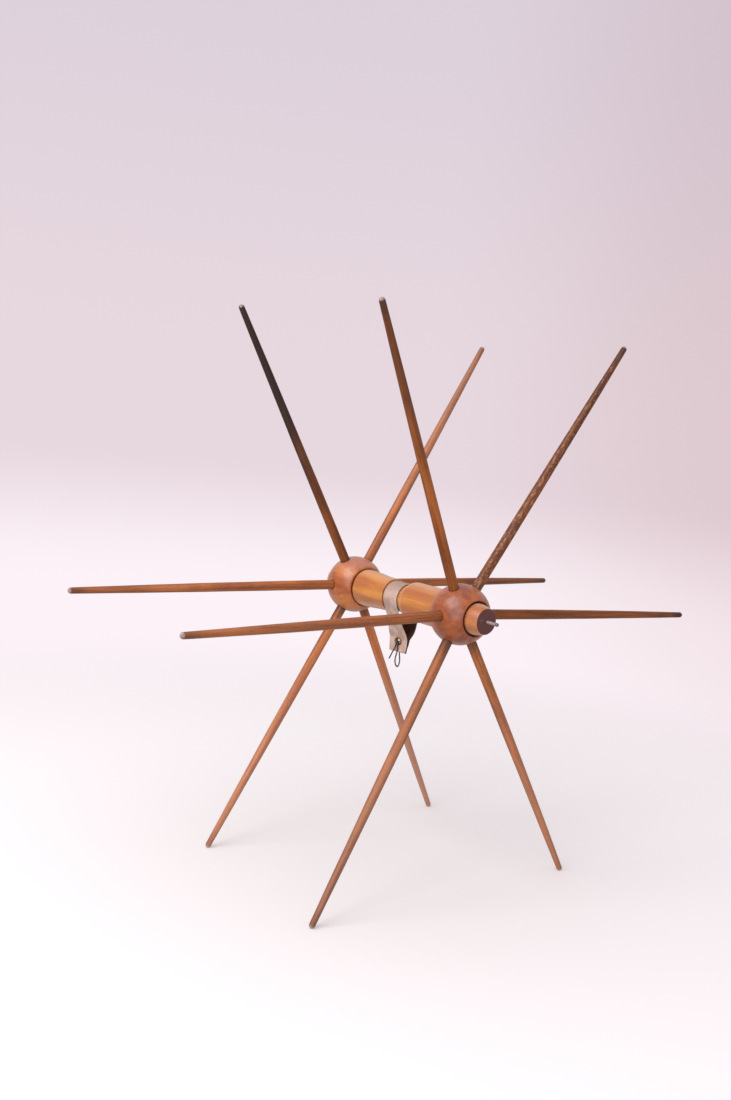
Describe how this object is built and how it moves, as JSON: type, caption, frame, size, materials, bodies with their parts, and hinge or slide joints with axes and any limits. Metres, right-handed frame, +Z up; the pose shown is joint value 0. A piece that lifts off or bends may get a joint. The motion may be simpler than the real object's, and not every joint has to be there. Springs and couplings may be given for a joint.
{
  "type": "hank swift",
  "caption": "Wooden hank swift: a turned spindle barrel, two ball hubs with tapered spokes, steel axle pins, and a leather brake strap with a wire hook in the barrel's groove.",
  "frame": {"origin": "on the floor that the swift stands on, straight below the middle of the spindle", "axes": "+X along the spindle towards the front hub, +Z up, +Y level across the spokes"},
  "size_m": [0.252, 0.5989, 0.5232],
  "materials": {
    "barrel_wood": "worn satin varnish on pale turned wood",
    "ball_wood": "glossy aged varnish on reddish turned wood",
    "spoke_wood": "rubbed varnish, darkened by handling",
    "pin_steel": "worn steel with a darkened end",
    "leather": "matt grey outside, dark and rubbed inside",
    "eyelet_metal": "tarnished",
    "wire_steel": "dull oxidised wire"
  },
  "bodies": {
    "swift": {"spindle_barrel": "barrel_wood", "hub_front": "ball_wood", "hub_rear": "ball_wood", "spoke_front_1": "spoke_wood", "spoke_front_2": "spoke_wood", "spoke_front_3": "spoke_wood", "spoke_front_4": "spoke_wood", "spoke_front_5": "spoke_wood", "spoke_front_6": "spoke_wood", "spoke_rear_1": "spoke_wood", "spoke_rear_2": "spoke_wood", "spoke_rear_3": "spoke_wood", "spoke_rear_4": "spoke_wood", "spoke_rear_5": "spoke_wood", "spoke_rear_6": "spoke_wood", "axle_pin_front": "pin_steel", "axle_pin_rear": "pin_steel"},
    "brake": {"brake_strap": "leather", "eyelet": "eyelet_metal", "eyelet_washer": "eyelet_metal"},
    "hook": {"wire_hook": "wire_steel"}
  },
  "joints": [
    {"name": "brake_turn", "type": "hinge", "parent": "swift", "child": "brake", "pos_m": [0, 0, 0.25995], "axis": [1, 0, 0], "continuous": true},
    {"name": "hook_swing", "type": "hinge", "parent": "brake", "child": "hook", "pos_m": [-0.0048, 0.0026, 0.21715], "axis": [0.2504, -0.9681, 0], "range_deg": [-25, 25]}
  ]
}
